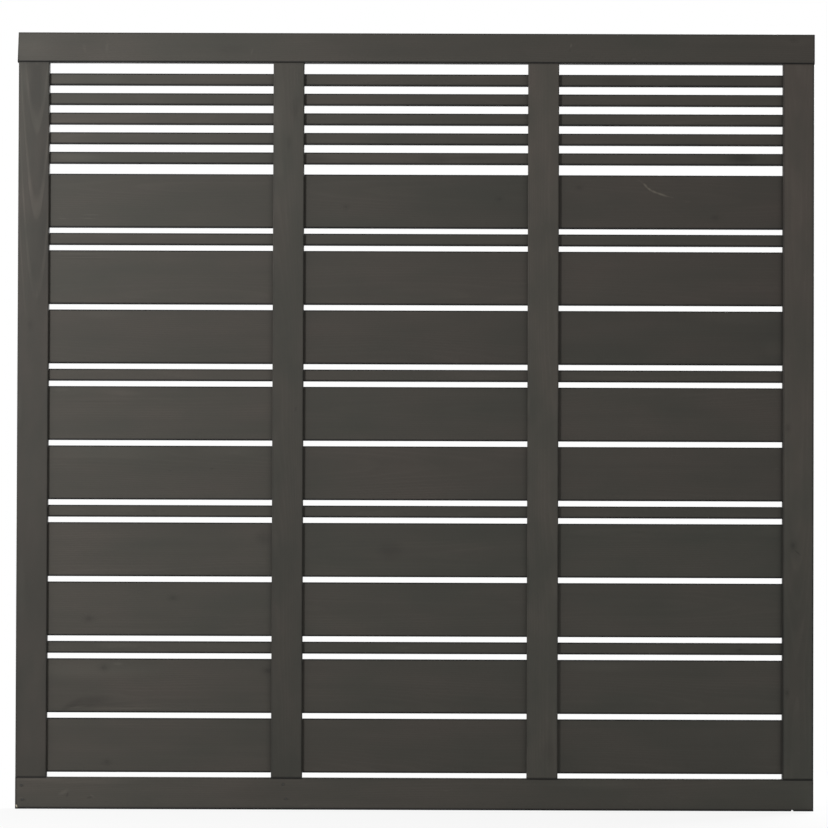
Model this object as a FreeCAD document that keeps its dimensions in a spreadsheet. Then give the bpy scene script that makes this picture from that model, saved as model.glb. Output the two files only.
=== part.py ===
"""Privacy fence panel: wide boards and narrow slats let into a frame of two rails and four stiles.

Millimetres, +Z up. X runs along the panel and Y through its thickness, with the front towards -Y.
The origin is the middle of the left stile's outer face, which is the face that meets a post.
"""

import FreeCAD
import Part
import Sketcher
import os
from collections import Counter

SIZES = {
    "panel_width": 1800.0,
    "frame_thickness": 34.0,
    "frame_rounding": 2.5,
    "top_rail_depth": 67.5,
    "bottom_rail_depth": 71.5,
    "rail_overhang_left": 0.6,
    "rail_overhang_right": 1.2,
    "rail_end_skew": 2.2,
    "stile_width": 70.0,
    "tenon_width": 40.0,
    "tenon_thickness": 12.0,
    "tenon_length": 35.0,
    "wide_board": 122.0,
    "narrow_slat": 27.0,
    "board_thickness": 16.0,
    "board_rounding": 2.0,
    "mortise_depth": 12.0,
    "joint_clearance": 0.2,
    "head_gap": 24.5,
    "open_gap": 17.5,
    "band_gap": 22.7,
    "close_gap": 12.2,
    "foot_gap": 11.5,
    "dent_width": 7.0,
    "dent_depth": 3.5,
    "dent_from_end": 47.5,
}

BAYS = 3
OPEN_SLATS = 5
BOARD_GROUPS = 4
STILE_NAMES = ["left_stile", "mid_left_stile", "mid_right_stile", "right_stile"]


def board_rows():
    """The boards from the top down, each with the gap above it.

    Narrow slats stand apart at the top. Below the first wide board, one narrow slat and two wide
    boards repeat with close gaps down to the bottom rail.
    """
    rows = [("narrow_slat", "head_gap")]
    rows += [("narrow_slat", "open_gap")] * (OPEN_SLATS - 1)
    rows += [("wide_board", "band_gap")]
    for _ in range(BOARD_GROUPS):
        rows += [("narrow_slat", "close_gap"), ("wide_board", "close_gap"), ("wide_board", "close_gap")]
    return rows


def total(names):
    """An expression that adds up the named sizes."""
    return " + ".join(f"{count} * Sizes.{name}" for name, count in Counter(names).items())


ROWS = board_rows()
FOOT_GAP = "foot_gap"
OPENING = "(" + total([name for row in ROWS for name in row] + [FOOT_GAP]) + ")"
BAY = f"((Sizes.panel_width - {len(STILE_NAMES)} * Sizes.stile_width) / {BAYS})"
PITCH = f"(Sizes.stile_width + {BAY})"


def row_middle(number):
    """The height of a row's centre line above the middle of the opening, as an expression."""
    board, gap = ROWS[number]
    above = [name for row in ROWS[:number] for name in row] + [gap]
    below = [name for row in ROWS[number + 1:] for name in row] + [FOOT_GAP]
    return f"(({total(below)}) - ({total(above)})) / 2"


def centred(width, middle="0"):
    """The two ends of a width that is centred on a middle, as expressions."""
    return f"{middle} - ({width}) / 2", f"{middle} + ({width}) / 2"


def rectangle(across, up):
    """The corners of a rectangle from its two spans, each a pair of expressions."""
    return [(across[0], up[0]), (across[1], up[0]), (across[1], up[1]), (across[0], up[1])]


def make_sheet(doc):
    """The sheet of driving sizes, each with its own alias."""
    sheet = doc.addObject("Spreadsheet::Sheet", "Sizes")
    for line, (alias, value) in enumerate(SIZES.items(), start=1):
        sheet.set(f"A{line}", alias)
        sheet.set(f"B{line}", str(value))
        sheet.setAlias(f"B{line}", alias)
    doc.recompute()


def make_body(doc, label, axis, place):
    """An empty body that stands at an expression along one axis."""
    body = doc.addObject("PartDesign::Body", label)
    body.Label = label
    body.setExpression(f"Placement.Base.{axis}", place)
    return body


def origin_feature(body, role):
    """The axis or plane of the body's origin with the given role."""
    return next(feature for feature in body.Origin.OriginFeatures if feature.Role == role)


def make_sketch(body, name, plane, outlines, offset="0"):
    """A sketch of closed outlines on a plane of the body, moved along the plane's normal."""
    sketch = body.newObject("Sketcher::SketchObject", name)
    sketch.AttachmentSupport = [(origin_feature(body, plane), "")]
    sketch.MapMode = "FlatFace"
    sketch.setExpression("AttachmentOffset.Base.z", offset)
    for corners in outlines:
        add_outline(sketch, corners)
    return sketch


def add_outline(sketch, corners):
    """Adds one closed outline whose corners are pairs of expressions from the sketch's origin."""
    first = sketch.GeometryCount
    points = [FreeCAD.Vector(*(float(sketch.evalExpression(each)) for each in corner), 0) for corner in corners]
    count = len(points)
    for index, point in enumerate(points):
        sketch.addGeometry(Part.LineSegment(point, points[(index + 1) % count]), False)
    for index in range(count):
        following = first + (index + 1) % count
        sketch.addConstraint(Sketcher.Constraint("Coincident", first + index, 2, following, 1))
    for index, (point, corner) in enumerate(zip(points, corners)):
        for kind, distance, expression in (("DistanceX", point.x, corner[0]), ("DistanceY", point.y, corner[1])):
            constraint = sketch.addConstraint(Sketcher.Constraint(kind, -1, 1, first + index, 1, distance))
            sketch.setExpression(f"Constraints[{constraint}]", expression)


def pad(body, name, sketch, length, symmetric=True):
    """A pad of a sketch, to both sides of its plane or along its normal."""
    feature = body.newObject("PartDesign::Pad", name)
    feature.Profile = sketch
    feature.SideType = "Symmetric" if symmetric else "One side"
    feature.setExpression("Length", length)
    return feature


def pocket(body, name, sketch, depth, along_normal=False, both_ways=False):
    """A pocket of a sketch, against its normal, along it or both ways, that has to cut something."""
    body.Document.recompute()
    before = body.Shape.Volume
    feature = body.newObject("PartDesign::Pocket", name)
    feature.Profile = sketch
    feature.Reversed = along_normal
    feature.SideType = "Symmetric" if both_ways else "One side"
    feature.setExpression("Length", depth)
    body.Document.recompute()
    if body.Shape.Volume >= before:
        raise RuntimeError(f"{body.Label}: {name} cuts nothing")
    return feature


def round_long_edges(body, name, direction, radius):
    """Rounds the edges of the body's last feature that run along a direction."""
    body.Document.recompute()
    base = body.Tip
    edges = []
    for number, edge in enumerate(base.Shape.Edges, start=1):
        along = edge.tangentAt(edge.FirstParameter)
        if abs(along.dot(direction)) > 0.999:
            edges.append(f"Edge{number}")
    fillet = body.newObject("PartDesign::Fillet", name)
    fillet.Base = (base, edges)
    fillet.setExpression("Radius", radius)
    return fillet


def board_mortises(body, name, offset, along_normal):
    """The mortises that take the boards' ends, cut into one side of a stile."""
    outlines = []
    for number, (board, _) in enumerate(ROWS):
        across = centred("Sizes.board_thickness + 2 * Sizes.joint_clearance")
        up = centred(f"Sizes.{board} + 2 * Sizes.joint_clearance", row_middle(number))
        outlines.append(rectangle(across, up))
    sketch = make_sketch(body, f"{name}Sketch", "YZ_Plane", outlines, offset)
    pocket(body, name, sketch, "Sizes.mortise_depth", along_normal)


def make_stile(doc, number):
    """An upright that stands between the rails, with a tenon at each end and the boards' mortises."""
    body = make_body(doc, STILE_NAMES[number], "x", f"{number} * {PITCH}")
    section = rectangle(("0", "Sizes.stile_width"), centred("Sizes.frame_thickness"))
    pad(body, "Upright", make_sketch(body, "Section", "XY_Plane", [section]), OPENING)
    round_long_edges(body, "Rounding", FreeCAD.Vector(0, 0, 1), "Sizes.frame_rounding")
    tenon = rectangle(centred("Sizes.tenon_width", "Sizes.stile_width / 2"), centred("Sizes.tenon_thickness"))
    pad(body, "Tenons", make_sketch(body, "TenonSection", "XY_Plane", [tenon]), f"{OPENING} + 2 * Sizes.tenon_length")
    if number > 0:
        board_mortises(body, "LeftMortises", "0", True)
    if number < BAYS:
        board_mortises(body, "RightMortises", "Sizes.stile_width", False)
    return body


def make_rail(doc, label, place, front, mortise_face, along_normal):
    """A rail across the whole panel, with a mortise for each stile's tenon in its inner face."""
    body = make_body(doc, label, "z", place)
    pad(body, "Beam", make_sketch(body, "Front", "XZ_Plane", [front]), "Sizes.frame_thickness")
    round_long_edges(body, "Rounding", FreeCAD.Vector(1, 0, 0), "Sizes.frame_rounding")
    width = "Sizes.tenon_width + 2 * Sizes.joint_clearance"
    thickness = "Sizes.tenon_thickness + 2 * Sizes.joint_clearance"
    outlines = []
    for number in range(len(STILE_NAMES)):
        middle = f"{number} * {PITCH} + Sizes.stile_width / 2"
        outlines.append(rectangle(centred(width, middle), centred(thickness)))
    sketch = make_sketch(body, "TenonMortiseSketch", "XY_Plane", outlines, mortise_face)
    pocket(body, "TenonMortises", sketch, "Sizes.tenon_length + Sizes.joint_clearance", along_normal)
    return body


def make_top_rail(doc):
    """The top rail, which passes the stiles a little at both ends and whose left end is cut askew."""
    left_top = "-Sizes.rail_overhang_left"
    left_low = "-Sizes.rail_overhang_left - Sizes.rail_end_skew"
    right = "Sizes.panel_width + Sizes.rail_overhang_right"
    top = "Sizes.top_rail_depth"
    front = [(left_low, "0"), (right, "0"), (right, top), (left_top, top)]
    return make_rail(doc, "top_rail", f"{OPENING} / 2", front, "0", True)


def make_bottom_rail(doc):
    """The bottom rail, flush with the outer stiles, with a dent in its lower edge near the right end."""
    depth = "Sizes.bottom_rail_depth"
    front = rectangle(("0", "Sizes.panel_width"), ("0", depth))
    body = make_rail(doc, "bottom_rail", f"-{OPENING} / 2 - {depth}", front, depth, False)
    left, right = centred("Sizes.dent_width", "Sizes.panel_width - Sizes.dent_from_end")
    below = "-0.5 * Sizes.dent_depth"
    dent = [
        (left, below),
        (right, below),
        (right, "0"),
        (f"{right} - 0.3 * Sizes.dent_width", "Sizes.dent_depth"),
        (f"{left} + 0.3 * Sizes.dent_width", "0.8 * Sizes.dent_depth"),
        (left, "0"),
    ]
    sketch = make_sketch(body, "DentSketch", "XZ_Plane", [dent])
    pocket(body, "Dent", sketch, "1.1 * Sizes.frame_thickness", both_ways=True)
    return body


def make_row(doc, number, label):
    """One row of boards: the same board in each bay, its ends let into the stiles."""
    board, _ = ROWS[number]
    body = make_body(doc, label, "z", row_middle(number))
    section = rectangle(centred("Sizes.board_thickness"), centred(f"Sizes.{board}"))
    reach = "(Sizes.mortise_depth - Sizes.joint_clearance)"
    sketch = make_sketch(body, "Section", "YZ_Plane", [section], f"Sizes.stile_width - {reach}")
    first = pad(body, "Board", sketch, f"{BAY} + 2 * {reach}", symmetric=False)
    doc.recompute()
    pattern = body.newObject("PartDesign::LinearPattern", "Bays")
    pattern.Originals = [first]
    pattern.Direction = (origin_feature(body, "X_Axis"), [""])
    pattern.Occurrences = BAYS
    pattern.setExpression("Length", f"{BAYS - 1} * {PITCH}")
    body.Tip = pattern
    round_long_edges(body, "Rounding", FreeCAD.Vector(1, 0, 0), "Sizes.board_rounding")
    return body


def make_rows(doc):
    """All rows from the top down, numbered by kind."""
    counts = Counter()
    bodies = []
    for number, (board, _) in enumerate(ROWS):
        counts[board] += 1
        bodies.append(make_row(doc, number, f"{board}_{counts[board]}"))
    return bodies


def check(doc, bodies):
    """Stops if any object failed or any piece is empty, broken or split wrongly."""
    for each in doc.Objects:
        if "Invalid" in each.State or "Error" in each.State:
            raise RuntimeError(f"{each.Label} failed: {each.State}")
    for body in bodies:
        if body.Shape.isNull() or not body.Shape.isValid():
            raise RuntimeError(f"{body.Label} has no valid shape")
        solids = BAYS if body.Label.startswith(("wide_board", "narrow_slat")) else 1
        if len(body.Shape.Solids) != solids:
            raise RuntimeError(f"{body.Label} has {len(body.Shape.Solids)} solids, not {solids}")


def main():
    """Builds the panel, checks it and writes each piece."""
    doc = FreeCAD.newDocument("privacy_fence_panel")
    make_sheet(doc)
    bodies = [make_top_rail(doc), make_bottom_rail(doc)]
    bodies += [make_stile(doc, number) for number in range(len(STILE_NAMES))]
    bodies += make_rows(doc)
    doc.recompute()
    check(doc, bodies)
    os.makedirs("parts", exist_ok=True)
    for body in bodies:
        body.Shape.exportStep(f"parts/{body.Label}.step")
        box = body.Shape.BoundBox
        print(f"{body.Label:18s} {len(body.Shape.Solids)} x {box.XMin:8.1f} {box.XMax:8.1f}"
              f" y {box.YMin:6.1f} {box.YMax:6.1f} z {box.ZMin:8.1f} {box.ZMax:8.1f} {body.Shape.Volume / 1000:9.1f} cm3")


main()
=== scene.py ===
"""Wooden privacy fence panel in matt dark grey paint: its finishes, nail heads and studio."""

import logging
import math
from collections.abc import Callable
from dataclasses import dataclass
from enum import Enum

import bmesh
import bpy
from mathutils import Matrix, Vector


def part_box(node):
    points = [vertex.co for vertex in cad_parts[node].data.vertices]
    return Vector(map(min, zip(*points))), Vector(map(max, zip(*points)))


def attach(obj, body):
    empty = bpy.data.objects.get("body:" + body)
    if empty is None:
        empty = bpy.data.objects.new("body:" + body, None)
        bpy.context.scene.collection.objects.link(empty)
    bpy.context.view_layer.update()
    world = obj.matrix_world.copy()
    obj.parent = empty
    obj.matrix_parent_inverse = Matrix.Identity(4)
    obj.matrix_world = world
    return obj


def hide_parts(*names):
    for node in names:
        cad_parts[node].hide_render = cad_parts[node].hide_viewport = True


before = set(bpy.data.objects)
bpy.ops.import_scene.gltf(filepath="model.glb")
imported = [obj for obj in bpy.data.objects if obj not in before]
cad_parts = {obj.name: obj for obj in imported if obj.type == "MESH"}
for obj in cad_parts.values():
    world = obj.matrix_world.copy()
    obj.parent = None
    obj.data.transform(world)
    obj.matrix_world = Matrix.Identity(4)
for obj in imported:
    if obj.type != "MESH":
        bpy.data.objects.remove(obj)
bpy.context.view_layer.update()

LOG = logging.getLogger("fence_panel")
BODY = "root"
STILE_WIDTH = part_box("left_stile")[1].x
HALF_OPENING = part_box("top_rail")[0].z
BAY_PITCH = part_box("mid_left_stile")[0].x
FLOOR_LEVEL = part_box("bottom_rail")[0].z
PANEL_MIDDLE = 0.9
MERGE = 0.00001

Colour = tuple[float, float, float]
Point = tuple[float, float, float]
Band = tuple[float, float]
Socketable = "float | int | Wire"


class Role(Enum):
    """What a timber is in the panel, which says where its joints are."""

    RAIL = "rail"
    STILE = "stile"
    BOARD = "board"


def math_method(operation: str, first: bool = True) -> "Callable[..., Wire]":
    """Makes a method of Wire that adds one Math node.

    Args:
        operation: the node's operation.
        first: whether the Wire is the first term.

    Returns:
        The method.
    """

    def method(wire: "Wire", *others: Socketable) -> "Wire":
        """Adds the Math node and gives its result."""
        terms = (wire, *others) if first else (*others, wire)
        return wire.graph.math(operation, *terms)

    return method


class Wire:
    """A shader socket that takes part in Python arithmetic."""

    def __init__(self, graph: "Graph", socket: bpy.types.NodeSocket) -> None:
        """Keeps the socket and the graph that its Math nodes go into."""
        self.graph = graph
        self.socket = socket

    __add__ = math_method("ADD")
    __radd__ = math_method("ADD", first=False)
    __sub__ = math_method("SUBTRACT")
    __rsub__ = math_method("SUBTRACT", first=False)
    __mul__ = math_method("MULTIPLY")
    __rmul__ = math_method("MULTIPLY", first=False)
    __truediv__ = math_method("DIVIDE")
    __abs__ = math_method("ABSOLUTE")
    floor = math_method("FLOOR")
    part = math_method("FRACT")
    root = math_method("SQRT")
    at_least = math_method("MAXIMUM")
    at_most = math_method("MINIMUM")

    def rise(self, low: float, high: float) -> "Wire":
        """Goes smoothly from 0 at low to 1 at high.

        Args:
            low: the value at which the result leaves 0.
            high: the value at which it reaches 1.

        Returns:
            The smoothed step.
        """
        values = {"Value": self, "From Min": low, "From Max": high}
        made = self.graph.node("ShaderNodeMapRange", {"interpolation_type": "SMOOTHSTEP"}, values)
        return Wire(self.graph, made.outputs[0])

    def near_edge(self, edge: float, band: Band) -> "Wire":
        """Goes smoothly from 0 to 1 over a band measured back from an edge."""
        return self.rise(edge - band[0], edge - band[1])


Wires = tuple[Wire, ...]


class Graph:
    """One node tree, with short ways to add nodes to it."""

    MIX_FACTOR = 0
    MIX_A = 6
    MIX_B = 7
    MIX_RESULT = 2

    def __init__(self, tree: bpy.types.NodeTree) -> None:
        """Starts from an empty tree."""
        self.tree = tree
        tree.nodes.clear()

    def node(self, kind: str, settings: dict | None = None, values: dict | None = None) -> bpy.types.Node:
        """Adds a node.

        Args:
            kind: the node's type.
            settings: its own settings, which are set first.
            values: a number, colour or Wire for each socket, by name or number.

        Returns:
            The new node.
        """
        made = self.tree.nodes.new(kind)
        for name, setting in (settings or {}).items():
            setattr(made, name, setting)
        for name, value in (values or {}).items():
            if isinstance(value, Wire):
                self.tree.links.new(value.socket, made.inputs[name])
            else:
                made.inputs[name].default_value = value
        return made

    def math(self, operation: str, *terms: Socketable) -> Wire:
        """Adds a Math node on one or two terms and gives its result."""
        made = self.node("ShaderNodeMath", {"operation": operation}, dict(enumerate(terms)))
        return Wire(self, made.outputs[0])

    def vector(self, x: Socketable, y: Socketable, z: Socketable) -> Wire:
        """Puts three values together as a vector."""
        made = self.node("ShaderNodeCombineXYZ", {}, {0: x, 1: y, 2: z})
        return Wire(self, made.outputs[0])

    def parts(self, vector: Wire) -> Wires:
        """Takes a vector or colour apart."""
        made = self.node("ShaderNodeSeparateXYZ", {}, {0: vector})
        return tuple(Wire(self, socket) for socket in made.outputs[:3])

    def mix(self, factor: Socketable, first: "Colour | Wire", second: "Colour | Wire") -> Wire:
        """Mixes two colours.

        Args:
            factor: 0 for the first colour and 1 for the second.
            first: a colour or a Wire.
            second: a colour or a Wire.

        Returns:
            The mixed colour.
        """
        values = {
            self.MIX_FACTOR: factor,
            self.MIX_A: first if isinstance(first, Wire) else (*first, 1.0),
            self.MIX_B: second if isinstance(second, Wire) else (*second, 1.0),
        }
        made = self.node("ShaderNodeMix", {"data_type": "RGBA", "clamp_factor": True}, values)
        return Wire(self, made.outputs[self.MIX_RESULT])

    def shade(self, colour: Wire, tone: Wire) -> Wire:
        """Makes a colour lighter or darker by a factor."""
        made = self.node("ShaderNodeVectorMath", {"operation": "SCALE"}, {0: colour, "Scale": tone})
        return Wire(self, made.outputs[0])

    def object_place(self) -> Wires:
        """Gives the x, y and z of the point that is shaded."""
        return self.parts(Wire(self, self.node("ShaderNodeTexCoord").outputs["Object"]))

    def surface(self, output: str, shader: bpy.types.Node) -> None:
        """Leads a shader to the output of a material or a world."""
        self.node(output, {}, {"Surface": Wire(self, shader.outputs[0])})

    def principled(self, values: dict, bump: float, height: Wire) -> None:
        """Ends a material in a Principled shader with relief.

        Args:
            values: what goes into the shader's sockets.
            bump: the relief's strength.
            height: the relief in metres.
        """
        relief = self.node("ShaderNodeBump", {}, {"Strength": bump, "Distance": 1.0, "Height": height})
        values = {**values, "Normal": Wire(self, relief.outputs[0])}
        self.surface("ShaderNodeOutputMaterial", self.node("ShaderNodeBsdfPrincipled", {}, values))


@dataclass(frozen=True)
class Pattern:
    """A noise that is stretched along the grain.

    Attributes:
        along: how many patches lie in a metre along the grain.
        across: how many lie in one across it, and into the panel.
        detail: how many finer layers it has.
        roughness: how strong the finer layers are.
    """

    along: float
    across: float
    detail: float = 2.0
    roughness: float = 0.55

    def draw(self, graph: Graph, along: Wire, across: Wire, deep: Wire) -> Wire:
        """Gives the noise at a point of the piece, from roughly -0.5 to 0.5."""
        place = graph.vector(along * self.along, across * self.across, deep * self.across)
        values = {"Vector": place, "Scale": 1.0, "Detail": self.detail, "Roughness": self.roughness}
        made = graph.node("ShaderNodeTexNoise", {"noise_dimensions": "3D"}, values)
        return Wire(graph, made.outputs[0]) - 0.5


@dataclass(frozen=True)
class Mark:
    """A soft streak, smudge, patch or scratch on a front face, or a line of painted highlight or shade
    along an edge. Lengths are in metres.

    Attributes:
        x: place along the panel.
        z: height.
        half_length: half its length.
        half_width: half its width.
        tone: how much lighter, or darker below 0, its middle is than the paint round it.
        turn: its slope in degrees, anticlockwise from level.
        depth: how far its middle is pressed or scratched in.
    """

    x: float
    z: float
    half_length: float
    half_width: float
    tone: float
    turn: float = 0.0
    depth: float = 0.0


@dataclass(frozen=True)
class Knot:
    """A knot that shows through the paint. Lengths are in metres.

    Attributes:
        x: place along the panel.
        z: height.
        radius: its size across the grain.
        tone: how much darker, below 0, it is.
    """

    x: float
    z: float
    radius: float
    tone: float


@dataclass(frozen=True)
class Timber:
    """How one piece, or one row of boards, is cut from its tree, and what shows on it.

    Attributes:
        node: the CAD node.
        role: what it is in the panel. A stile's fibres run up it, the others' along the panel.
        seed: a number that sets it apart from the other pieces.
        tone: how light its paint is beside the usual.
        rings: how strongly the growth rings show through the paint.
        heart: the tree's heart, across the face and behind it in metres, or None for a chance one a board.
        taper: how fast the heart draws away along the piece, in metres a metre.
        band: the share of a year's growth at which the late wood begins, and where it is full.
        rings_from: the places between which its rings come into sight, or None for rings all along.
        wander: how far its rings stray from their circles, in metres.
        patchy: how strong its broad patches are beside the usual.
        lean: how far its tint leans to the browner one at its left and right end, or at its foot and top.
        knots: its knots.
        marks: its marks.
        worn: places where the paint is thin or off, as marks whose tone is the share of wood that shows.
    """

    node: str
    role: Role
    seed: float
    tone: float = 1.0
    rings: float = 0.07
    heart: Band | None = None
    taper: float = 0.02
    band: Band = (0.42, 0.84)
    rings_from: Band | None = None
    wander: float = 0.022
    patchy: float = 1.0
    lean: Band = (0.0, 0.0)
    knots: tuple[Knot, ...] = ()
    marks: tuple[Mark, ...] = ()
    worn: tuple[Mark, ...] = ()


@dataclass(frozen=True)
class GrainField:
    """The values that a finish needs at each point of a timber."""

    late: Wire
    fibre: Wire
    streak: Wire
    blotch: Wire
    board: Wire
    rubbed: Wire
    arris_shade: Wire
    upper_edge: Wire
    rail_end: Wire
    joint: Wire
    lean: Wire
    bay_light_and_shade: Wire
    knots: Wire
    swell: Wire


@dataclass(frozen=True)
class JointShade:
    """The dark of the joints, and the painted shade that the stiles throw on the boards' ends. A band is
    where it begins and where it is full, in metres from an edge.

    Attributes:
        seam: the band of a seam between rail and stile.
        beside: how far past a stile's edge a rail's seam fades.
        upper_loss: how much weaker the seams under the top rail are.
        upper_band: the heights between which they weaken.
        end_band: the band of the painted shade at a board's right end, beside the next stile.
        end_shade_share: how strong that painted shade is.
        end_shade_line_band: the band of the thin line of painted shade at that end.
        end_shade_line_share: how strong that painted shade line is, and how much stronger in the right
            bay.
        stile_shadow_reach: how far a faint painted shadow of the stile runs from a board's left end.
        stile_shadow_share: how strong that painted shadow is.
    """

    seam: Band = (0.0042, 0.0006)
    beside: float = 0.001
    upper_loss: float = 0.62
    upper_band: Band = (-0.1, 0.1)
    end_band: Band = (0.016, 0.0005)
    end_shade_share: float = 0.23
    end_shade_line_band: Band = (0.0056, 0.0034)
    end_shade_line_share: Band = (0.1, 0.24)
    stile_shadow_reach: float = 0.09
    stile_shadow_share: float = 0.06

    def dark(self, role: Role, x: Wire, z: Wire) -> Wire:
        """Works out where a piece meets its neighbours, and where the stiles' painted shade lies on the
        boards.

        Args:
            role: what the piece is in the panel.
            x: the place along the panel.
            z: the height.

        Returns:
            1 in the dark of the joints and in the painted shade beside the stiles, and 0 away from them.
        """
        upper = 1.0 - self.upper_loss * z.rise(*self.upper_band)
        if role is Role.STILE:
            return abs(z).near_edge(HALF_OPENING, self.seam) * upper
        from_stile = (x / BAY_PITCH).part() * BAY_PITCH
        if role is Role.RAIL:
            far, near = self.seam
            by_stile = 1.0 - from_stile.rise(STILE_WIDTH - self.beside, STILE_WIDTH + self.beside)
            return (1.0 - abs(z).rise(HALF_OPENING + near, HALF_OPENING + far)) * by_stile * upper
        # A board's painted shade: at its right end and as a thin line by the stile, and a faint painted
        # shadow of the stile at its left end in the middle and right bays.
        right = from_stile.near_edge(BAY_PITCH, self.end_band)
        bay = (x / BAY_PITCH).floor()
        shade = (1.0 - from_stile.rise(STILE_WIDTH, STILE_WIDTH + self.stile_shadow_reach)) * bay.at_most(1.0)
        usual, gain = self.end_shade_line_share
        line = from_stile.near_edge(BAY_PITCH, self.end_shade_line_band) * (usual + gain * (bay - 1.0).at_least(0.0))
        return self.stile_shadow_share * shade + self.end_shade_share * right + line


@dataclass(frozen=True)
class PaintedTimber:
    """Matt dark grey paint on planed softwood, thin enough for the grain to show. Lengths are in metres.

    Attributes:
        cool: the paint's greener tint.
        warm: its browner tint.
        bare_wood: raw softwood where the paint is off.
        patch_tint: how far the broad patches turn from one tint to the other.
        board_tint: how far one board's tint turns from the next one's.
        fibre_tone: how much the finest fibres change the tone.
        streak_tone: how much the broader streaks do.
        blotch_tone: how much the broad patches do.
        board_tone: how much one board differs from the next.
        middle_bay_shade: how much darker the middle bay's boards are, as painted shade.
        right_bay_light: how much lighter the right bay's boards are, as painted light.
        worn_tone: how much lighter the rubbed arrises are.
        arris_shade_tone: how much darker the lower arris, and a stile's side arrises, are, as painted
            shade.
        upper_tone: how much darker the upper arris of a board is.
        end_tone: how much darker a rail's ends are, where the end grain drinks more paint.
        joint_and_shade_tone: how much darker the joints, and the painted shade beside the stiles, are.
        least_tone: the darkest that the tone may go.
        joint: where the joints are dark, and where painted shade lies beside the stiles.
        rubbed_band: how far from an arris its rubbing begins, and where it is full.
        lower_shade_band: the same for the painted shade of the lower arris.
        upper_band: the same for the dark of the upper arris.
        end_band: the same for the dark at a rail's ends.
        roughness: the dried paint's roughness.
        fibre_rough: how much the fibres change it.
        streak_rough: how much the streaks change it.
        rubbed_rough: how much smoother the rubbed arrises are.
        gloss: the paint's specular level.
        bump: the strength of all relief.
        ring_relief: how far the late wood stands up.
        fibre_relief: how far the fibres do.
        knot_relief: how far the timber swells round a knot.
        knot_push: how far a knot pushes the rings aside.
        ring_gap: the width of a year's growth.
    """

    cool: Colour = (0.0441, 0.0435, 0.036)
    warm: Colour = (0.0501, 0.0429, 0.0364)
    bare_wood: Colour = (0.54, 0.49, 0.38)
    patch_tint: float = 1.3
    board_tint: float = 0.27
    fibre_tone: float = 0.07
    streak_tone: float = 0.2
    blotch_tone: float = 0.28
    board_tone: float = 0.055
    middle_bay_shade: float = 0.04
    right_bay_light: float = 0.01
    worn_tone: float = 0.12
    arris_shade_tone: float = -0.94
    upper_tone: float = -0.98
    end_tone: float = -0.45
    joint_and_shade_tone: float = -0.72
    least_tone: float = 0.1
    joint: JointShade = JointShade()
    rubbed_band: Band = (0.003, 0.0008)
    lower_shade_band: Band = (0.0052, 0.002)
    upper_band: Band = (0.0038, 0.0014)
    end_band: Band = (0.0055, 0.002)
    roughness: float = 0.62
    fibre_rough: float = 0.14
    streak_rough: float = 0.1
    rubbed_rough: float = 0.12
    gloss: float = 0.22
    bump: float = 0.7
    ring_relief: float = 0.00007
    fibre_relief: float = 0.00009
    knot_relief: float = 0.0001
    knot_push: float = 0.009
    ring_gap: float = 0.0034

    # The grain's noises. The broad patches lie differently on level and upright pieces.
    WANDER = Pattern(1.6, 4.0, 1.0, 0.5)
    RIPPLE = Pattern(9.0, 40.0, 1.0, 0.5)
    LEVEL_PATCHES = Pattern(4.0, 11.0)
    UPRIGHT_PATCHES = Pattern(8.0, 19.0)
    STREAKS = Pattern(1.7, 70.0)
    FIBRES = Pattern(14.0, 620.0, 2.0, 0.6)
    RIPPLE_SHARE = 0.1
    UPRIGHT_STREAKS = 0.55
    # What sets bays and timbers apart in the noises.
    BAY_SEED = 3.17
    BAY_START = 11.7
    TIMBER_START = 5.3
    # Where a chance heart lies: its spread in half widths, its least depth and the depth's spread.
    CHANCE_HEART = (2.6, 0.045, 0.05)
    # The late wood: its mean, where a year ends, and how patches and streaks strengthen it.
    LATE_MEAN = 0.35
    YEAR_END = (0.9, 1.0)
    LATE_STRENGTH = (0.75, 2.2, 1.2)
    # Where the arrises are rubbed: the shares of patches and fibres, and the band of their sum.
    RUB_SHARES = (2.0, 1.4)
    RUB_BAND = (-0.25, 0.45)
    # How dark a stile's left and right arris is, as painted shade, beside a board's lower one; and each
    # role's upper arris.
    STILE_ARRISES = (0.2, 0.34)
    UPPER_SHARE = {Role.RAIL: 0.5, Role.STILE: 0.0, Role.BOARD: 1.0}
    # A knot: its length for its width, its swell's share and reach, and its core's and halo's dark.
    KNOT_STRETCH = 1.5
    SWELL_SHARE = 0.35
    SWELL_REACH = 1.6
    KNOT_DARK = ((0.8, 0.1, 1.25), (0.5, 0.6, 2.6))
    # A mark lies on the front alone, and is full over this share of its size.
    FRONT_LIMIT = (-0.007, -0.006)
    MARK_CORE = 0.15

    def material(self, timber: Timber, low: Vector, high: Vector) -> bpy.types.Material:
        """Makes the finish of one piece.

        Args:
            timber: how the piece is cut and marked.
            low: the lowest corner of its box.
            high: the highest corner of its box.

        Returns:
            The material.
        """
        made = bpy.data.materials.new(f"paint_{timber.node}")
        made.use_nodes = True
        graph = Graph(made.node_tree)
        place = graph.object_place()
        grain = self.grain(graph, timber, low, high, place)
        tone, dents = self.marks(timber.marks, place)
        tone = tone + timber.rings * (grain.late - self.LATE_MEAN)
        tone = tone + self.fibre_tone * grain.fibre + self.streak_tone * grain.streak
        tone = tone + (self.blotch_tone * timber.patchy) * grain.blotch + self.board_tone * grain.board
        tone = tone + self.worn_tone * grain.rubbed + grain.knots
        # Painted shade on the lower arrises and on the stiles' side arrises.
        tone = tone + self.arris_shade_tone * grain.arris_shade + self.upper_tone * grain.upper_edge
        tone = tone + self.end_tone * grain.rail_end
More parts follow.
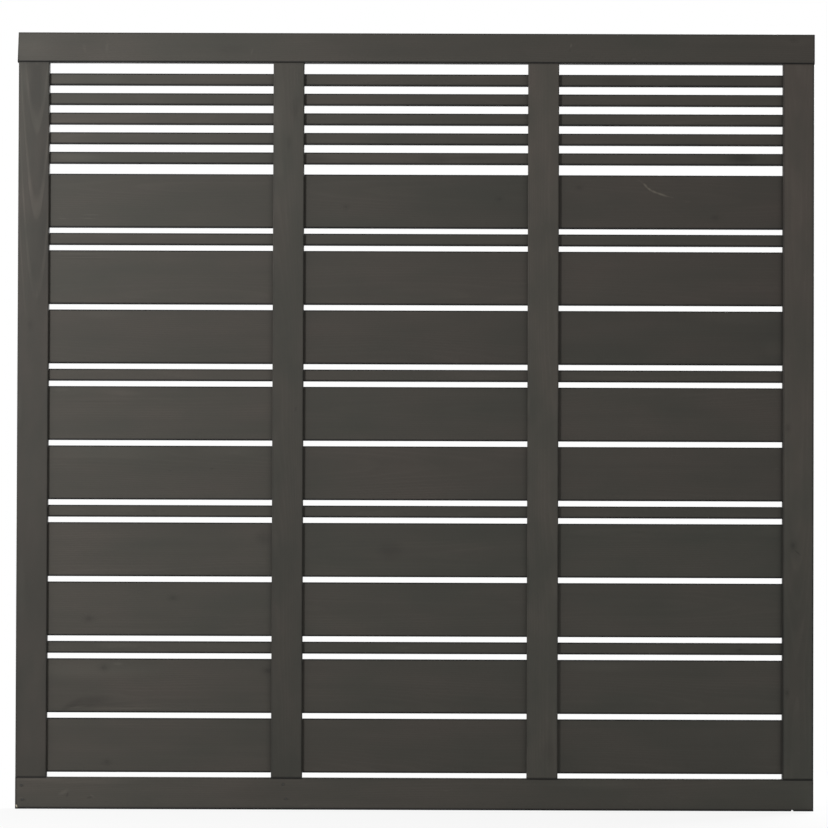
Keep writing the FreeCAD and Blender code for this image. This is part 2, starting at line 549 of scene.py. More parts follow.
        # The joints' dark here includes painted shade beside the stiles.
        tone = tone * timber.tone * grain.bay_light_and_shade * (1.0 + self.joint_and_shade_tone * grain.joint)
        tint = 0.5 + self.patch_tint * grain.blotch + self.board_tint * grain.board + grain.lean
        colour = graph.shade(graph.mix(tint, self.cool, self.warm), tone.at_least(self.least_tone))
        rough = self.roughness + self.fibre_rough * grain.fibre + self.streak_rough * grain.streak
        rough = rough - self.rubbed_rough * grain.rubbed
        if timber.worn:
            share, rubs = self.marks(timber.worn, place)
            colour = graph.mix((share - 1.0) * (1.0 + grain.fibre), colour, self.bare_wood)
            dents = dents + rubs
        height = self.ring_relief * grain.late + self.fibre_relief * grain.fibre
        height = height + self.knot_relief * grain.swell - dents
        values = {"Base Color": colour, "Roughness": rough, "Specular IOR Level": self.gloss}
        graph.principled(values, self.bump, height)
        return made

    def grain(self, graph: Graph, timber: Timber, low: Vector, high: Vector, place: Wires) -> GrainField:
        """Works out the growth rings, fibres, knots and arrises of a piece.

        Args:
            graph: the material's graph.
            timber: how the piece is cut.
            low: the lowest corner of its box.
            high: the highest corner of its box.
            place: the point's x, y and z.

        Returns:
            The values at each point.
        """
        x, y, z = place
        level = timber.role is not Role.STILE
        along, across = (x, z) if level else (z, x)
        first, last = (low.x, high.x) if level else (low.z, high.z)
        bottom, top = (low.z, high.z) if level else (low.x, high.x)
        half = (top - bottom) / 2
        side = across - (bottom + top) / 2
        bay = x * 0.0
        bay_light_and_shade = bay + 1.0
        # Painted light and shade by bay: the middle bay's boards darker, the right bay's a little lighter.
        if timber.role is Role.BOARD:
            bay = ((x - STILE_WIDTH / 2) / BAY_PITCH).floor()
            bay_light_and_shade = 1.0 - self.middle_bay_shade * (1.0 - abs(bay - 1.0))
            bay_light_and_shade = bay_light_and_shade + self.right_bay_light * (bay - 1.0).at_least(0.0)
        seed = {"W": bay * self.BAY_SEED + timber.seed}
        chance = graph.node("ShaderNodeTexWhiteNoise", {"noise_dimensions": "1D"}, seed)
        board, second, third = graph.parts(Wire(graph, chance.outputs["Color"]))
        if timber.heart:
            heart_side = side - timber.heart[0]
            heart_deep = timber.heart[1] + timber.taper * along + y
        else:
            spread, depth, deeper = self.CHANCE_HEART
            heart_side = side + (second - 0.5) * (spread * half)
            heart_deep = depth + deeper * third + (board - 0.5) * timber.taper * 2.0 * along + y
        point = (along + (timber.seed * self.TIMBER_START + bay * self.BAY_START), across, y)
        patches = self.LEVEL_PATCHES if level else self.UPRIGHT_PATCHES
        blotch = patches.draw(graph, *point)
        streak = self.STREAKS.draw(graph, *point)
        if not level:
            streak = self.UPRIGHT_STREAKS * streak
        fibre = self.FIBRES.draw(graph, *point)
        core, swell = self.knots(timber.knots, along, across, level)
        wander = self.WANDER.draw(graph, *point)
        ripple = self.RIPPLE.draw(graph, *point)
        radius = (heart_side * heart_side + heart_deep * heart_deep).root()
        radius = radius + timber.wander * (wander + self.RIPPLE_SHARE * ripple) + self.knot_push * swell
        ring = (radius / self.ring_gap).part()
        late = ring.rise(*timber.band) - ring.rise(*self.YEAR_END)
        if timber.rings_from:
            late = late * along.rise(*timber.rings_from)
        usual, by_patch, by_streak = self.LATE_STRENGTH
        late = late * (usual + by_patch * blotch + by_streak * streak).at_least(0.0)
        rubs = (blotch * self.RUB_SHARES[0] + fibre * self.RUB_SHARES[1]).rise(*self.RUB_BAND)
        # The lower arris, and a stile's left and right arrises, carry painted shade.
        low_side = (0.0 - side).near_edge(half, self.lower_shade_band)
        high_side = side.near_edge(half, self.upper_band)
        left, right = self.STILE_ARRISES
        rail_end = x * 0.0
        if timber.role is Role.RAIL:
            rail_end = abs(x - (first + last) / 2).near_edge((last - first) / 2, self.end_band)
        start, end = timber.lean
        return GrainField(
            late, fibre, streak, blotch, board - 0.5,
            rubbed=abs(side).near_edge(half, self.rubbed_band) * rubs,
            arris_shade=low_side if level else left * low_side + right * high_side,
            upper_edge=self.UPPER_SHARE[timber.role] * high_side,
            joint=self.joint.dark(timber.role, x, z),
            lean=start + (along - first) * ((end - start) / (last - first)),
            rail_end=rail_end, bay_light_and_shade=bay_light_and_shade, knots=core, swell=swell,
        )

    def knots(self, knots: tuple[Knot, ...], along: Wire, across: Wire, level: bool) -> Wires:
        """Works out how dark the knots are, and how the grain swells round them.

        Args:
            knots: the piece's knots.
            along: the place along the grain.
            across: the place across it.
            level: whether the grain runs along the panel.

        Returns:
            The change of tone, and the swell of the grain from 0 to 1.
        """
        core = along * 0.0
        swell = core
        for knot in knots:
            near, far = (knot.x, knot.z) if level else (knot.z, knot.x)
            run = (along - near) / (knot.radius * self.KNOT_STRETCH)
            rise = (across - far) / knot.radius
            reach = (run * run * self.SWELL_SHARE + rise * rise * self.SWELL_SHARE).root()
            swell = swell + (1.0 - reach.rise(0.0, self.SWELL_REACH))
            full = (run * run + rise * rise).root()
            for share, inner, outer in self.KNOT_DARK:
                core = core + share * knot.tone * (1.0 - full.rise(inner, outer))
        return core, swell

    def marks(self, marks: tuple[Mark, ...], place: Wires) -> Wires:
        """Works out the change of tone and the depth of a piece's marks.

        Args:
            marks: the marks.
            place: the point's x, y and z.

        Returns:
            One plus the marks' tones, and the depth in metres.
        """
        x, y, z = place
        front = 1.0 - y.rise(*self.FRONT_LIMIT)
        tone = front * 0.0 + 1.0
        deep = front * 0.0
        for mark in marks:
            cosine = math.cos(math.radians(mark.turn))
            sine = math.sin(math.radians(mark.turn))
            over = x - mark.x
            up = z - mark.z
            run = over * (cosine / mark.half_length) + up * (sine / mark.half_length)
            rise = up * (cosine / mark.half_width) - over * (sine / mark.half_width)
            soft = (1.0 - (run * run + rise * rise).root().rise(self.MARK_CORE, 1.0)) * front
            tone = tone + mark.tone * soft
            if mark.depth:
                deep = deep + mark.depth * soft
        return tone, deep


@dataclass(frozen=True)
class PaintedSteel:
    """Steel that the paint has half covered, in patches that change its colour, roughness and relief."""

    dark: Colour = (0.014, 0.013, 0.011)
    pale: Colour = (0.038, 0.034, 0.028)
    roughness: float = 0.55
    patch_rough: float = 0.3
    patch_relief: float = 0.00006
    bump: float = 0.5

    PATCHES = Pattern(600.0, 600.0, 2.0, 0.6)
    PALE_BAND = (-0.1, 0.5)

    def material(self) -> bpy.types.Material:
        """Makes the finish."""
        made = bpy.data.materials.new("painted_nail")
        made.use_nodes = True
        graph = Graph(made.node_tree)
        patch = self.PATCHES.draw(graph, *graph.object_place())
        colour = graph.mix((patch * 2.0).rise(*self.PALE_BAND), self.dark, self.pale)
        rough = self.roughness + self.patch_rough * patch
        graph.principled({"Base Color": colour, "Roughness": rough}, self.bump, self.patch_relief * patch)
        return made


# Half a mark's length for its run's: over a half, so that a scratch has no breaks.
RUN_SHARE = 0.8


def scratch(points: tuple[Band, ...], half_width: float, tone: float, depth: float) -> tuple[Mark, ...]:
    """Lays thin marks end to end along a bent line.

    Args:
        points: the line's points, each x and z in metres.
        half_width: half the scratch's width in metres.
        tone: the marks' tone.
        depth: how deep it is in metres.

    Returns:
        One mark for each run of the line.
    """
    made = []
    for (x1, z1), (x2, z2) in zip(points, points[1:]):
        length = math.hypot(x2 - x1, z2 - z1)
        turn = math.degrees(math.atan2(z2 - z1, x2 - x1))
        made.append(Mark((x1 + x2) / 2, (z1 + z2) / 2, length * RUN_SHARE, half_width, tone, turn, depth))
    return tuple(made)


def place_mesh(shape: bmesh.types.BMesh, name: str) -> bpy.types.Object:
    """Turns a finished bmesh into an object of the scene and frees it.

    Args:
        shape: the bmesh.
        name: the object's name.

    Returns:
        The object, at the origin.
    """
    mesh = bpy.data.meshes.new(name)
    shape.to_mesh(mesh)
    shape.free()
    made = bpy.data.objects.new(name, mesh)
    bpy.context.scene.collection.objects.link(made)
    return made


FRAME_TIMBERS = (
    Timber(
        "top_rail", Role.RAIL, 1.3, 0.955, rings=0.1, heart=(-0.06, 0.05), taper=0.012, lean=(0.0, 0.12),
        marks=(
            Mark(0.02, 0.842, 0.06, 0.03, 0.1), Mark(0.13, 0.842, 0.09, 0.06, -0.08),
            Mark(0.1485, 0.84, 0.015, 0.0055, 0.14, -80.0), Mark(0.1994, 0.843, 0.018, 0.0055, 0.16, 86.0),
            Mark(0.5275, 0.833, 0.011, 0.0026, 0.3, 76.0), Mark(0.48, 0.838, 0.05, 0.012, -0.08),
            Mark(1.2495, 0.8488, 0.0065, 0.0034, 0.45, 82.0, 0.0003),
            Mark(1.2473, 0.838, 0.006, 0.0036, -0.14, 70.0),
            Mark(1.3921, 0.8175, 0.007, 0.0026, 0.3, -15.0, 0.0003), Mark(1.56, 0.868, 0.055, 0.0016, 0.3),
            Mark(1.7542, 0.8617, 0.02, 0.009, -0.22), Mark(1.76, 0.857, 0.045, 0.015, 0.11),
            Mark(1.55, 0.842, 0.42, 0.07, 0.06), Mark(0.82, 0.842, 0.26, 0.07, -0.05),
        ),
    ),
    Timber(
        "bottom_rail", Role.RAIL, 2.9, 1.1, heart=(0.05, 0.055), taper=0.015, lean=(0.12, -0.14),
        marks=(
            Mark(0.16, -0.842, 0.42, 0.05, 0.04), Mark(1.05, -0.842, 0.45, 0.07, 0.02),
            # Painted highlight along the upper edge: the marks at z -0.8105, -0.8125, -0.8118 and -0.817.
            # Painted shade along the lower arris: the mark at z -0.8768.
            Mark(0.56, -0.842, 0.11, 0.04, -0.06), Mark(0.25, -0.8105, 0.33, 0.003, 0.2),
            Mark(0.045, -0.8125, 0.085, 0.006, 0.24), Mark(0.9, -0.8768, 4.0, 0.005, -0.3),
            Mark(1.56, -0.842, 0.4, 0.07, 0.1), Mark(1.66, -0.8118, 0.13, 0.0024, 0.14),
            Mark(0.109, -0.8408, 0.018, 0.007, 0.24, 26.0, 0.0005),
            Mark(0.1178, -0.848, 0.008, 0.0042, -0.26, 70.0),
            Mark(0.168, -0.8542, 0.01, 0.004, -0.26, 14.0, 0.0003),
            Mark(0.1742, -0.85, 0.008, 0.0036, 0.2, -30.0), Mark(0.0155, -0.827, 0.008, 0.004, -0.32),
            Mark(0.018, -0.8588, 0.0095, 0.0038, -0.32), Mark(0.0135, -0.8548, 0.007, 0.0024, 0.16),
            Mark(0.6045, -0.8226, 0.0062, 0.0046, -0.34), Mark(0.6115, -0.8562, 0.01, 0.003, -0.26),
            Mark(0.611, -0.8512, 0.009, 0.0024, 0.14), Mark(0.6561, -0.8684, 0.014, 0.0035, 0.16, 8.0),
            Mark(0.9717, -0.8358, 0.01, 0.0025, 0.18), Mark(1.504, -0.8499, 0.008, 0.0022, 0.22),
            Mark(1.3845, -0.8584, 0.007, 0.0022, 0.16), Mark(1.312, -0.818, 0.13, 0.02, 0.18),
            Mark(0.16, -0.817, 0.15, 0.009, 0.16),
        ),
        worn=(Mark(0.0031, -0.8731, 0.0056, 0.0025, 1.0, -68.0),),
    ),
    Timber(
        "left_stile", Role.STILE, 4.1, 0.82, rings=0.34, heart=(0.0075, 0.14115), taper=-0.01966,
        band=(0.62, 0.8), rings_from=(0.16, 0.44), wander=0.003, patchy=1.5,
        knots=(Knot(0.0281, 0.2129, 0.006, -0.14),),
        marks=(
            Mark(0.016, 0.49, 0.42, 0.02, 0.12, 90.0), Mark(0.006, 0.68, 0.23, 0.013, 0.18, 90.0),
            Mark(0.007, 0.75, 0.08, 0.0055, 0.12, 90.0), Mark(0.018, 0.747, 0.062, 0.006, 0.16, 96.0),
            Mark(0.035, -0.01, 0.3, 0.07, 0.06, 90.0), Mark(0.042, 0.661, 0.028, 0.009, 0.1, 90.0),
            Mark(0.06, 0.48, 0.4, 0.022, -0.15, 90.0), Mark(0.04, 0.77, 0.11, 0.034, -0.12, 90.0),
            Mark(0.035, -0.17, 0.17, 0.055, 0.06, 90.0), Mark(0.035, -0.66, 0.3, 0.05, 0.12, 90.0),
            Mark(0.0436, 0.281, 0.012, 0.003, 0.14, 90.0), Mark(0.018, 0.775, 0.045, 0.018, 0.14, 90.0),
            Mark(0.058, 0.75, 0.07, 0.012, 0.17, 90.0), Mark(0.0335, 0.504, 0.045, 0.013, -0.11, 90.0),
            Mark(0.012, -0.382, 0.12, 0.014, 0.15, 90.0), Mark(0.006, 0.025, 0.06, 0.008, 0.17, 90.0),
        ),
    ),
    Timber(
        "mid_left_stile", Role.STILE, 5.7, 0.845, patchy=1.5, lean=(-0.32, -0.22),
        marks=(
            Mark(0.627, 0.712, 0.032, 0.015, -0.16, 80.0), Mark(0.612, 0.627, 0.026, 0.008, -0.18, 90.0),
            Mark(0.588, 0.62, 0.23, 0.016, 0.08, 90.0), Mark(0.612, 0.79, 0.1, 0.07, 0.05, 90.0),
            Mark(0.611, 0.6, 0.26, 0.07, 0.13, 90.0), Mark(0.588, 0.705, 0.13, 0.02, 0.14, 90.0),
            Mark(0.592, 0.568, 0.03, 0.016, 0.12, 90.0), Mark(0.627, 0.69, 0.026, 0.012, -0.13, 90.0),
            Mark(0.612, -0.34, 0.4, 0.07, -0.05, 90.0), Mark(0.6301, 0.0249, 0.01, 0.004, -0.2, 80.0),
            Mark(0.6423, 0.7108, 0.006, 0.002, 0.4, 90.0),
        ),
    ),
    Timber(
        "mid_right_stile", Role.STILE, 7.2, 1.18, patchy=1.7, lean=(-0.25, 0.25),
        marks=(
            Mark(1.188, 0.73, 0.24, 0.07, 0.06, 90.0), Mark(1.188, -0.3, 0.3, 0.07, -0.03, 90.0),
            Mark(1.152, 0.037, 0.05, 0.01, 0.2, 90.0), Mark(1.206, -0.745, 0.04, 0.026, -0.15, 90.0),
        ),
    ),
    Timber(
        "right_stile", Role.STILE, 8.8, 1.32, patchy=1.3, lean=(-0.38, 0.72),
        knots=(
            Knot(1.7418, -0.0145, 0.005, -0.2),
            Knot(1.7535, -0.2809, 0.0055, -0.24),
            Knot(1.7404, -0.6126, 0.0045, -0.18),
        ),
        marks=(
            Mark(1.764, -0.2967, 0.012, 0.0028, -0.28, -40.0), Mark(1.765, -0.62, 0.54, 0.07, -0.24, 90.0),
            # The marks at x 1.7306 and 1.799 are painted shade along the stile's left and right arrises.
            Mark(1.765, 0.6, 0.4, 0.07, 0.05, 90.0), Mark(1.7306, 0.0, 4.0, 0.0046, -0.34, 90.0),
            Mark(1.799, 0.0, 4.0, 0.0048, -0.46, 90.0),
        ),
    ),
)


@dataclass
class FrameTimbers:
    """The two rails and four stiles."""

    finish: PaintedTimber = PaintedTimber()
    timbers: tuple[Timber, ...] = FRAME_TIMBERS

    def dress(self) -> None:
        """Gives each rail and stile its finish, and the bottom rail its nails."""
        for timber in self.timbers:
            if timber.node == "bottom_rail":
                NailedRail(timber, self.finish).build()
            else:
                dress_node(timber, self.finish)


FAINT_SCRATCH = (
    *scratch(((1.3996, 0.5481), (1.416, 0.5362)), 0.0026, 0.22, 0.0001),
    *scratch(((1.467, 0.5088), (1.4859, 0.5048)), 0.0024, 0.24, 0.0001),
)
BRIGHT_SCRATCH = scratch(
    ((1.4152, 0.5368), (1.4236, 0.5273), (1.4322, 0.5214), (1.4436, 0.5165), (1.4676, 0.5086)),
    0.0035, 0.105, 0.0002,
)
BOARD_TIMBERS = (
    Timber(
        "wide_board_1", Role.BOARD, 11.0, 0.91, lean=(-0.1, 0.2),
        knots=(
            Knot(0.7414, 0.4829, 0.0042, -0.18),
            Knot(1.0876, 0.501, 0.004, -0.18),
            Knot(1.2686, 0.5276, 0.0045, -0.2),
            Knot(1.5766, 0.4606, 0.0045, -0.2),
        ),
        worn=BRIGHT_SCRATCH,
        marks=FAINT_SCRATCH + (
            Mark(1.27, 0.552, 0.036, 0.0015, 0.22), Mark(1.29, 0.544, 0.028, 0.0013, 0.14),
            Mark(1.556, 0.5492, 0.088, 0.0022, 0.18), Mark(1.499, 0.5462, 0.012, 0.0018, -0.16),
            Mark(1.601, 0.5462, 0.009, 0.0018, -0.14), Mark(0.1633, 0.4629, 0.03, 0.0021, 0.22),
            Mark(0.1011, 0.4541, 0.016, 0.0021, 0.18), Mark(0.1577, 0.4542, 0.022, 0.0022, 0.22),
            Mark(1.5131, 0.4966, 0.012, 0.005, 0.12),
        ),
    ),
    Timber(
        "wide_board_2", Role.BOARD, 12.1, 0.945, lean=(-0.05, 0.25),
        marks=(
            Mark(0.14, 0.3741, 0.09, 0.0032, 0.14), Mark(0.14, 0.3687, 0.085, 0.0018, -0.15),
            Mark(0.15, 0.366, 0.08, 0.002, 0.12), Mark(0.16, 0.363, 0.095, 0.002, -0.2),
        ),
    ),
    Timber(
        "wide_board_3", Role.BOARD, 13.4, 0.89, lean=(0.0, 0.1),
        marks=(
            Mark(1.0593, 0.1321, 0.006, 0.0025, -0.35), Mark(1.64, 0.233, 0.15, 0.02, 0.15),
            Mark(1.712, 0.167, 0.04, 0.03, 0.12), Mark(0.196, 0.238, 0.08, 0.014, 0.14),
        ),
    ),
    Timber(
        "wide_board_4", Role.BOARD, 14.9, 0.98,
        marks=(
            Mark(0.0983, 0.067, 0.03, 0.006, 0.18), Mark(0.242, 0.059, 0.055, 0.008, 0.16),
            Mark(0.181, 0.0395, 0.105, 0.0013, -0.18, 0.2),
        ),
    ),
    Timber(
        "wide_board_5", Role.BOARD, 15.2, 0.97,
        marks=(
            Mark(0.3456, -0.116, 0.006, 0.0022, -0.28), Mark(0.4406, -0.1111, 0.006, 0.0022, -0.28),
            Mark(1.7177, -0.1071, 0.007, 0.0026, 0.22), Mark(0.21, -0.074, 0.2, 0.024, 0.17),
            Mark(0.48, -0.07, 0.12, 0.02, 0.15),
        ),
    ),
    Timber(
        "wide_board_6", Role.BOARD, 16.7, 1.01, lean=(0.05, -0.28),
        marks=(
            Mark(1.403, -0.251, 0.026, 0.0014, -0.24), Mark(0.845, -0.295, 0.042, 0.03, -0.17),
            Mark(0.56, -0.265, 0.032, 0.024, -0.19),
        ),
    ),
    Timber(
        "wide_board_7", Role.BOARD, 17.3, 1.01, lean=(0.05, -0.3),
        knots=(Knot(0.1641, -0.4509, 0.006, -0.22), Knot(0.3537, -0.4029, 0.0055, -0.2)),
    ),
    Timber(
        "wide_board_8", Role.BOARD, 18.6, 1.0, lean=(0.1, -0.32),
        knots=(Knot(0.1985, -0.5614, 0.006, -0.26), Knot(0.5689, -0.5669, 0.0065, -0.3)),
        marks=(
            Mark(0.2301, -0.5522, 0.016, 0.005, 0.26), Mark(0.17, -0.566, 0.22, 0.028, 0.2),
            Mark(0.125, -0.646, 0.04, 0.012, -0.17, 28.0), Mark(0.172, -0.635, 0.058, 0.014, -0.18, 5.0),
            Mark(0.25, -0.6525, 0.18, 0.0026, 0.24), Mark(0.14, -0.65, 0.032, 0.0026, 0.18, 10.0),
            Mark(0.186, -0.644, 0.1, 0.012, -0.13), Mark(0.15, -0.649, 0.05, 0.01, -0.12),
            Mark(1.315, -0.556, 0.13, 0.016, 0.15),
        ),
    ),
    Timber(
        "wide_board_9", Role.BOARD, 19.8, 1.0, lean=(0.0, -0.28),
        knots=(Knot(0.2063, -0.7734, 0.005, -0.2),),
    ),
    Timber(
        "narrow_slat_1", Role.BOARD, 21.5, 0.98,
        marks=(
            Mark(1.464, 0.7738, 0.0075, 0.0028, 0.3), Mark(1.4535, 0.7594, 0.036, 0.0017, 0.4),
            Mark(0.11, 0.771, 0.08, 0.01, 0.1), Mark(1.35, 0.77, 0.07, 0.014, -0.16),
            Mark(0.198, 0.77, 0.06, 0.014, 0.14),
        ),
    ),
    Timber("narrow_slat_2", Role.BOARD, 22.3, 0.96, marks=(Mark(1.64, 0.727, 0.3, 0.04, 0.09),)),
    Timber("narrow_slat_3", Role.BOARD, 23.8, 1.0, marks=(Mark(1.64, 0.684, 0.3, 0.04, 0.09),)),
    Timber("narrow_slat_4", Role.BOARD, 24.2, 1.02, marks=(Mark(1.64, 0.638, 0.3, 0.04, 0.06),)),
    Timber(
        "narrow_slat_5", Role.BOARD, 25.9, 1.05,
        marks=(
            Mark(0.14, 0.593, 0.08, 0.01, 0.12), Mark(1.0217, 0.5948, 0.07, 0.007, -0.14),
            Mark(1.638, 0.5965, 0.05, 0.018, -0.36), Mark(0.94, 0.5925, 0.055, 0.014, -0.2),
            Mark(0.67, 0.5925, 0.05, 0.014, -0.15), Mark(0.126, 0.5925, 0.07, 0.014, 0.12),
        ),
    ),
    Timber("narrow_slat_6", Role.BOARD, 26.4, 1.01, marks=(Mark(0.25, 0.405, 0.32, 0.04, -0.1),)),
    Timber("narrow_slat_7", Role.BOARD, 27.7, 0.99),
    Timber(
        "narrow_slat_8", Role.BOARD, 28.1, 1.04, lean=(0.0, -0.2),
        marks=(Mark(0.3099, -0.2065, 0.008, 0.0022, -0.3), Mark(0.1344, -0.2038, 0.032, 0.003, 0.12)),
    ),
    Timber(
        "narrow_slat_9", Role.BOARD, 29.6, 1.07, lean=(0.0, -0.3),
        marks=(
            Mark(0.8714, -0.5141, 0.03, 0.006, 0.14), Mark(1.6348, -0.5161, 0.008, 0.003, -0.26),
            Mark(1.637, -0.518, 0.026, 0.008, -0.16), Mark(0.228, -0.511, 0.07, 0.01, 0.17),
        ),
    ),
)


@dataclass
class BoardRows:
    """The eighteen rows of boards: nine wide, nine narrow, three boards in each."""

    finish: PaintedTimber = PaintedTimber()
    timbers: tuple[Timber, ...] = BOARD_TIMBERS

    def dress(self) -> None:
        """Gives each row its finish."""
        for timber in self.timbers:
            dress_node(timber, self.finish)


def dress_node(timber: Timber, finish: PaintedTimber) -> None:
    """Puts a finish on a CAD node's material slots.

    Args:
        timber: how the piece is cut and marked.
        finish: its paint.
    """
    low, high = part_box(timber.node)
    made = finish.material(timber, low, high)
    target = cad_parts[timber.node]
    if not target.material_slots:
        target.data.materials.append(made)
    for slot in target.material_slots:
        slot.material = made
    LOG.info("finished %s", timber.node)


@dataclass
class NailedRail:
    """The bottom rail with the nails that pin the stiles' tenons and a chip off its corner.

    Attributes:
        timber: how the rail is cut and marked.
        finish: its paint.
        steel: the nail heads' finish.
        places: each nail's x and z in metres, on the front and repeated on the back.
        head_radius: a nail head's radius in metres.
        head_sides: how many sides a head and its hole have.
        hole_share: how wide a hole is beside its head.
        hole_depth: how deep the head is driven below the face.
        head_rise: how far the head's crown stands above its rim.
        chip_place: the chip's middle from the rail's lower left corner, along and up.
        chip_run: how far the chip runs along and down.
        chip_width: how wide the chip is across its run.
        chip_depth: how deep the chip goes into the front.
        chip_lean: how far the chip's cut leans out of the face, in degrees.
    """

    timber: Timber
    finish: PaintedTimber
    steel: PaintedSteel = PaintedSteel()
    places: tuple[Band, ...] = (
        (0.014, -0.8266), (0.0162, -0.8588), (0.6045, -0.8226), (0.6109, -0.8548),
    )
    head_radius: float = 0.0027
    head_sides: int = 20
    hole_share: float = 1.15
    hole_depth: float = 0.0011
    head_rise: float = 0.0004
    chip_place: Band = (0.0031, 0.0064)
    chip_run: Band = (0.0032, 0.008)
    chip_width: float = 0.0028
    chip_depth: float = 0.0012
    chip_lean: float = 28.0

    def build(self) -> None:
        """Cuts the holes and the chip, and sets the nail heads."""
        low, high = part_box(self.timber.node)
        rail = self.merged_copy()
        cutters = self.hole_cutters(low, high)
        self.cut(rail, cutters)
        rail.data.materials.clear()
        rail.data.materials.append(self.finish.material(self.timber, low, high))
        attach(rail, BODY)
        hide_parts(self.timber.node)
        LOG.info("built %s", rail.name)
        heads = self.heads(low, high)
        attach(heads, BODY)
        LOG.info("built %s", heads.name)

    def merged_copy(self) -> bpy.types.Object:
        """Copies the CAD rail and merges its loose triangles."""
        shape = bmesh.new()
        shape.from_mesh(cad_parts[self.timber.node].data)
        bmesh.ops.remove_doubles(shape, verts=shape.verts, dist=MERGE)
        return place_mesh(shape, "nailed_bottom_rail")

    def hole_cutters(self, low: Vector, high: Vector) -> bpy.types.Object:
        """Makes the solids that cut the nail holes and the chip.

        Args:
            low: the lowest corner of the rail's box.
            high: the highest corner of the rail's box.

        Returns:
            The object of all cutters.
        """
        shape = bmesh.new()
        radius = self.head_radius * self.hole_share
        form = {"radius1": radius, "radius2": radius, "depth": 2.0 * self.hole_depth}
        turn = Matrix.Rotation(math.radians(90.0), 4, "X")
        for x, z in self.places:
            for face in (low.y, high.y):
                made = bmesh.ops.create_cone(shape, cap_ends=True, segments=self.head_sides, **form)
                place = Matrix.Translation((x, face, z)) @ turn
                bmesh.ops.transform(shape, matrix=place, verts=made["verts"])
        over, down = self.chip_run
        made = bmesh.ops.create_cube(shape, size=1.0)
        slope = Matrix.Rotation(math.atan2(down, over), 4, "Y")
        lean = Matrix.Rotation(math.radians(self.chip_lean), 4, "X")
        size = Matrix.Diagonal((math.hypot(over, down), 2.0 * self.chip_depth, self.chip_width, 1.0))
        middle = Vector((low.x + self.chip_place[0], low.y, low.z + self.chip_place[1]))
        place = Matrix.Translation(middle) @ slope @ lean @ size
        bmesh.ops.transform(shape, matrix=place, verts=made["verts"])
        return place_mesh(shape, "rail_cutters")

    def cut(self, rail: bpy.types.Object, cutters: bpy.types.Object) -> None:
        """Cuts the rail with the cutters, then removes them.

        Args:
            rail: the rail to cut.
            cutters: the object that is taken away from it.
        """
        step = rail.modifiers.new("cut", "BOOLEAN")
        step.operation = "DIFFERENCE"
        step.solver = "EXACT"
        step.object = cutters
        bpy.context.view_layer.update()
        ready = rail.evaluated_get(bpy.context.evaluated_depsgraph_get())
        mesh = bpy.data.meshes.new_from_object(ready)
        rail.modifiers.clear()
        rail.data = mesh
        bpy.data.objects.remove(cutters)

    def heads(self, low: Vector, high: Vector) -> bpy.types.Object:
        """Makes the nails' slightly crowned heads at the bottom of their holes.

        Args:
            low: the lowest corner of the rail's box.
            high: the highest corner of the rail's box.

        Returns:
            The object of all heads.
        """
        shape = bmesh.new()
        form = {"u_segments": self.head_sides, "v_segments": self.head_sides // 2, "radius": 1.0}
        size = Matrix.Diagonal((self.head_radius, self.head_rise, self.head_radius, 1.0))
        for x, z in self.places:
            for face, outward in ((low.y, -1.0), (high.y, 1.0)):
                made = bmesh.ops.create_uvsphere(shape, **form)
                place = Matrix.Translation((x, face - outward * self.hole_depth, z)) @ size
                bmesh.ops.transform(shape, matrix=place, verts=made["verts"])
        for face in shape.faces:
            face.smooth = True
        nails = place_mesh(shape, "rail_nail_heads")
        nails.data.materials.append(self.steel.material())
        return nails


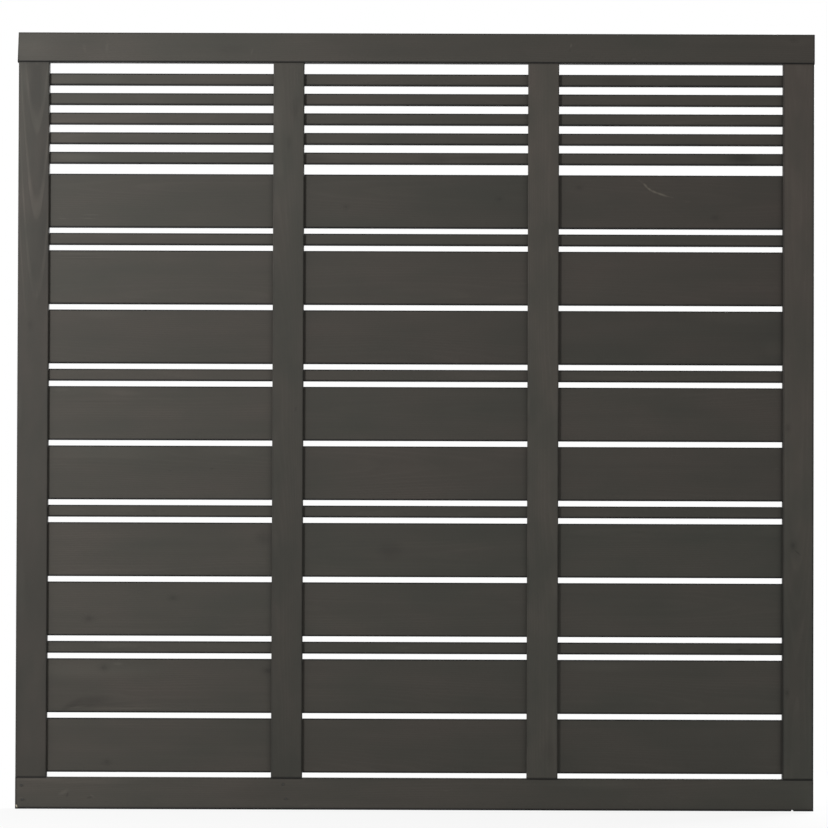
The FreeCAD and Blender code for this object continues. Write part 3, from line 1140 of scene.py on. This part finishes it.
@dataclass
class Studio:
    """The floor, lamps, background and camera, in metres and watts."""

    floor_size: float = 160.0
    floor_grey: float = 0.82
    # How much of a seen floor is plain white by the panel, how much more far away, and where that rises.
    floor_white: Band = (0.86, 0.14)
    floor_fade: Band = (0.5, 2.4)
    # How the distance along the panel counts, squared, beside the one across it.
    fade_stretch: float = 0.36
    background: float = 1.0
    soft_light: float = 0.407
    key_place: Point = (-1.42, -3.0, 1.4)
    key_aim: Point = (-2.38, 0.0, 1.62)
    key_size: float = 0.7
    key_power: float = 199.4
    back_place: Point = (2.6, 2.6, 1.6)
    back_aim: Point = (PANEL_MIDDLE, 0.0, 0.0)
    back_size: float = 1.6
    back_power: float = 165.0
    # The film is in millimetres, the lens and the photograph's width in its pixels.
    film: float = 36.0
    lens_pixels: float = 5306.5
    photo_pixels: float = 828.0
    camera_place: Point = (0.93, -12.0, -0.296)
    # Degrees to the right, up and round.
    camera_angles: Point = (-0.158, 1.481, 0.187)
    far_limit: float = 200.0

    def build(self) -> None:
        """Builds the whole studio."""
        self.floor()
        self.lamp("key_lamp", self.key_place, self.key_aim, self.key_size, self.key_power)
        self.lamp("back_lamp", self.back_place, self.back_aim, self.back_size, self.back_power)
        self.world()
        self.camera()

    def seen(self, graph: Graph) -> Wire:
        """Gives 1 for rays from the camera, off a gloss or through glass."""
        path = graph.node("ShaderNodeLightPath")
        rays = ("Is Camera Ray", "Is Glossy Ray", "Is Transmission Ray")
        camera, gloss, glass = (Wire(graph, path.outputs[ray]) for ray in rays)
        return (camera + gloss + glass).at_most(1.0)

    def floor(self) -> None:
        """Lays a pale floor that looks white and keeps the panel's shadow."""
        shape = bmesh.new()
        bmesh.ops.create_grid(shape, x_segments=1, y_segments=1, size=self.floor_size / 2)
        bmesh.ops.translate(shape, verts=shape.verts, vec=Vector((PANEL_MIDDLE, 0.0, FLOOR_LEVEL)))
        ground = place_mesh(shape, "floor")
        made = bpy.data.materials.new("pale_floor")
        made.use_nodes = True
        graph = Graph(made.node_tree)
        x, y, _ = graph.object_place()
        over = x - PANEL_MIDDLE
        away = (over * over * self.fade_stretch + y * y).root().rise(*self.floor_fade)
        near, gain = self.floor_white
        matt = graph.node("ShaderNodeBsdfDiffuse", {}, {"Color": (*[self.floor_grey] * 3, 1.0)})
        values = {"Color": (1.0, 1.0, 1.0, 1.0), "Strength": self.background}
        white = graph.node("ShaderNodeEmission", {}, values)
        values = {0: self.seen(graph) * (near + gain * away), 1: Wire(graph, matt.outputs[0])}
        blend = graph.node("ShaderNodeMixShader", {}, {**values, 2: Wire(graph, white.outputs[0])})
        graph.surface("ShaderNodeOutputMaterial", blend)
        ground.data.materials.append(made)

    def lamp(self, name: str, place: Point, aim: Point, size: float, power: float) -> None:
        """Hangs a square soft lamp.

        Args:
            name: the lamp's name.
            place: where it hangs.
            aim: the point that it faces.
            size: the length of its sides.
            power: its power.
        """
        light = bpy.data.lights.new(name, "AREA")
        light.shape = "SQUARE"
        light.size = size
        light.energy = power
        hung = bpy.data.objects.new(name, light)
        hung.location = place
        hung.rotation_euler = (Vector(aim) - Vector(place)).to_track_quat("-Z", "Y").to_euler()
        bpy.context.scene.collection.objects.link(hung)

    def world(self) -> None:
        """Makes a white background that lights the panel only softly."""
        world = bpy.data.worlds.new("studio")
        world.use_nodes = True
        bpy.context.scene.world = world
        graph = Graph(world.node_tree)
        strength = self.soft_light + self.seen(graph) * (self.background - self.soft_light)
        sky = graph.node("ShaderNodeBackground", {}, {"Color": (1.0, 1.0, 1.0, 1.0), "Strength": strength})
        graph.surface("ShaderNodeOutputWorld", sky)

    def camera(self) -> None:
        """Sets the long lens at the photograph's angle."""
        scene = bpy.context.scene
        lens = bpy.data.cameras.new("camera")
        lens.sensor_fit = "HORIZONTAL"
        lens.sensor_width = self.film
        lens.lens = self.film * self.lens_pixels / self.photo_pixels
        lens.clip_end = self.far_limit
        lens.dof.use_dof = False
        holder = bpy.data.objects.new("camera", lens)
        yaw, pitch, roll = (math.radians(angle) for angle in self.camera_angles)
        ahead = Vector((math.sin(yaw) * math.cos(pitch), math.cos(yaw) * math.cos(pitch), math.sin(pitch)))
        level = Vector((math.cos(yaw), -math.sin(yaw), 0.0))
        upright = level.cross(ahead)
        right = level * math.cos(roll) + upright * math.sin(roll)
        above = upright * math.cos(roll) - level * math.sin(roll)
        turn = Matrix((right, above, -ahead)).transposed()
        holder.matrix_world = Matrix.Translation(self.camera_place) @ turn.to_4x4()
        scene.collection.objects.link(holder)
        scene.camera = holder
        scene.view_settings.view_transform = "Standard"


def main() -> None:
    """Builds the studio and dresses every piece of the panel."""
    logging.basicConfig(level=logging.INFO, format="%(name)s: %(message)s")
    Studio().build()
    LOG.info("studio ready")
    FrameTimbers().dress()
    BoardRows().dress()


if __name__ == "__main__":
    main()
